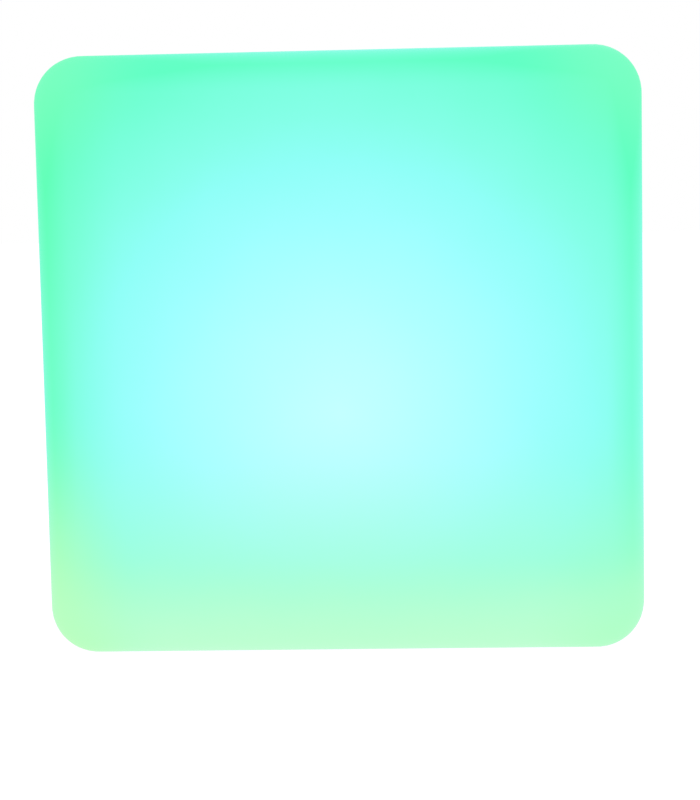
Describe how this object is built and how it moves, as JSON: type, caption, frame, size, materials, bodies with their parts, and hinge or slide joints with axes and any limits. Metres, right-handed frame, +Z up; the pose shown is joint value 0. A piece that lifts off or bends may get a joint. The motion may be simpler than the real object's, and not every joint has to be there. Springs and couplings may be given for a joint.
{
  "type": "led cube light",
  "caption": "Hollow moulded cube light with rounded edges that glows from inside; a battery light module with a button and a capped charging port closes its recessed underside.",
  "frame": {"origin": "middle of the square that the cube stands on", "axes": "+Z up; the four upright faces are alike, and -Y is the one towards the viewer; the row of controls in the underside runs along X on the -Y side"},
  "size_m": [0.4, 0.4, 0.4],
  "materials": {
    "glow_skin": "satin translucent polyethylene, lit from inside in cyan and green",
    "white_plastic": "fine-grained white moulding",
    "grey_plastic": "satin grey moulding",
    "black_plastic": "smooth black moulding",
    "black_rubber": "matt soft rubber",
    "pale_rubber": "matt silicone rubber",
    "stainless": "turned stainless steel",
    "zinc_plate": "bright zinc plate",
    "brass": "turned and knurled brass",
    "nickel": "dull nickel",
    "clear_plastic": "clear light pipe",
    "cell_sleeve": "shrunk sleeve over a steel can",
    "green_board": "green solder mask over glass fibre",
    "white_board": "white solder mask over aluminium",
    "chip_black": "moulded black epoxy and ferrite",
    "capacitor_can": "drawn aluminium can",
    "nylon": "undyed nylon",
    "lead_red": "red insulation",
    "lead_black": "black insulation",
    "lead_green": "green insulation",
    "lead_blue": "blue insulation",
    "lead_white": "white insulation",
    "aluminium_plate": "milled aluminium",
    "led_case": "white case with a clear window",
    "opal_plastic": "opal diffuser"
  },
  "bodies": {
    "root": {"cube_shell": "glow_skin", "module_base": "white_plastic", "battery_clamp": "white_plastic", "charge_socket": "black_plastic", "tact_switch": "black_plastic", "cap_anchor": "black_rubber", "button_seal": "black_rubber", "socket_seal": "black_rubber", "lead_grommet": "black_rubber", "flange_gasket": "pale_rubber", "flange_screws": "stainless", "clamp_screws": "zinc_plate", "board_screws": "zinc_plate", "led_board_screws": "zinc_plate", "dome_screws": "zinc_plate", "threaded_inserts": "brass", "socket_contact": "brass", "nickel_tabs": "nickel", "socket_pin": "nickel", "indicator_pipe": "clear_plastic", "battery_cells": "cell_sleeve", "control_board": "green_board", "protection_board": "green_board", "led_board": "white_board", "control_chip": "chip_black", "channel_drivers": "chip_black", "inductor": "chip_black", "capacitors": "capacitor_can", "battery_header": "nylon", "battery_plug": "nylon", "led_header": "nylon", "led_plug": "nylon", "led_terminal": "nylon", "battery_lead_red": "lead_red", "led_lead_red": "lead_red", "battery_lead_black": "lead_black", "led_lead_green": "lead_green", "led_lead_blue": "lead_blue", "led_lead_white": "lead_white", "heat_spreader": "aluminium_plate", "led_packages": "led_case", "indicator_led": "led_case", "dome_lens": "opal_plastic"},
    "button": {"power_button": "grey_plastic", "switch_plunger": "black_plastic"},
    "flap": {"port_cap": "black_rubber"}
  },
  "joints": [
    {"name": "button_press", "type": "slide", "parent": "root", "child": "button", "axis": [0, 0, 1], "range_m": [0, 0.0012], "stiffness_N_per_m": 1400},
    {"name": "flap_swing", "type": "hinge", "parent": "root", "child": "flap", "pos_m": [0.0235, -0.0215, 0.00715], "axis": [0, -1, 0], "range_deg": [0, 100], "stiffness_Nm_per_rad": 0.0018}
  ]
}
